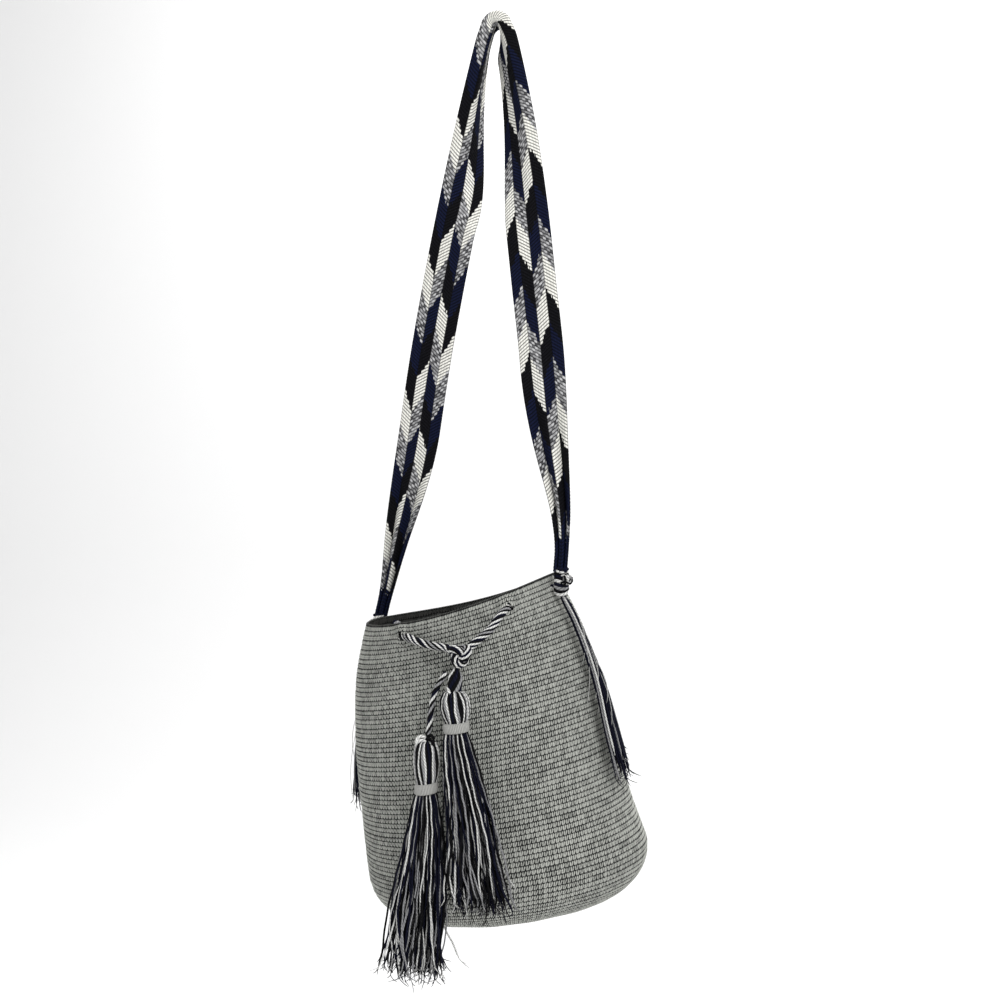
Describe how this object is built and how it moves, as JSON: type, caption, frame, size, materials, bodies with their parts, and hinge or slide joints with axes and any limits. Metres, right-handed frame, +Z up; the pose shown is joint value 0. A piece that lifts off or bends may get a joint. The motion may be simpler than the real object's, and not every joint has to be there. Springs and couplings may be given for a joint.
{
  "type": "crocheted bucket shoulder bag",
  "caption": "Crocheted bucket bag with a braided shoulder strap, a twisted drawstring through the rim and yarn tassels, hanging from a peg.",
  "frame": {"origin": "underside of the strap at the top of its loop, where a peg carries the bag", "axes": "+Z up, -Y towards the front with the drawstring knot and tassels, +X to the right seen from the front"},
  "size_m": [0.2902, 0.2557, 0.8435],
  "materials": {
    "crochet": "matt crocheted cotton",
    "strap": "matt braided cotton in navy, black, grey and cream",
    "tie_yarn": "matt twisted cotton in black, grey and white",
    "fringe_yarn": "matt loose cotton yarn, mostly navy",
    "drawstring_yarn": "matt twisted cotton in black, grey and white",
    "tassel_yarn": "matt loose cotton yarn in navy, black, grey and white",
    "binding_yarn": "matt grey cotton"
  },
  "bodies": {
    "strap": {"shoulder_strap": "strap", "strap_tie_left": "tie_yarn", "strap_tie_right": "tie_yarn"},
    "bag": {"bag_body": "crochet", "drawstring": "drawstring_yarn", "drawstring_knot": "drawstring_yarn"},
    "tassel_upper": {"tassel_upper_loop": "tassel_yarn", "tassel_upper_threads": "tassel_yarn", "tassel_upper_binding": "binding_yarn"},
    "tassel_lower": {"drawstring_end_lower": "drawstring_yarn", "tassel_lower_threads": "tassel_yarn", "tassel_lower_binding": "binding_yarn"},
    "fringe_left": {"strap_fringe_left": "fringe_yarn"},
    "fringe_right": {"strap_fringe_right": "fringe_yarn"}
  },
  "joints": [
    {"name": "strap_swing", "type": "hinge", "parent": "strap", "child": "bag", "pos_m": [-0.0316, 0.0061, -0.5367], "axis": [0.9175, -0.3107, 0.2484], "range_deg": [-45, 45]},
    {"name": "tassel_upper_swing", "type": "hinge", "parent": "bag", "child": "tassel_upper", "pos_m": [-0.01, -0.1075, -0.5765], "axis": [-1, 0, 0], "range_deg": [-3, 60]},
    {"name": "tassel_lower_swing", "type": "hinge", "parent": "bag", "child": "tassel_lower", "pos_m": [-0.0185, -0.1075, -0.5795], "axis": [-1, 0, 0], "range_deg": [-3, 60]},
    {"name": "fringe_left_swing", "type": "hinge", "parent": "strap", "child": "fringe_left", "pos_m": [-0.1284, 0.0389, -0.5706], "axis": [0.3208, 0.9471, 0], "range_deg": [0, 50]},
    {"name": "fringe_right_swing", "type": "hinge", "parent": "strap", "child": "fringe_right", "pos_m": [0.0652, -0.0267, -0.5182], "axis": [-0.3208, -0.9471, 0], "range_deg": [0, 50]}
  ]
}
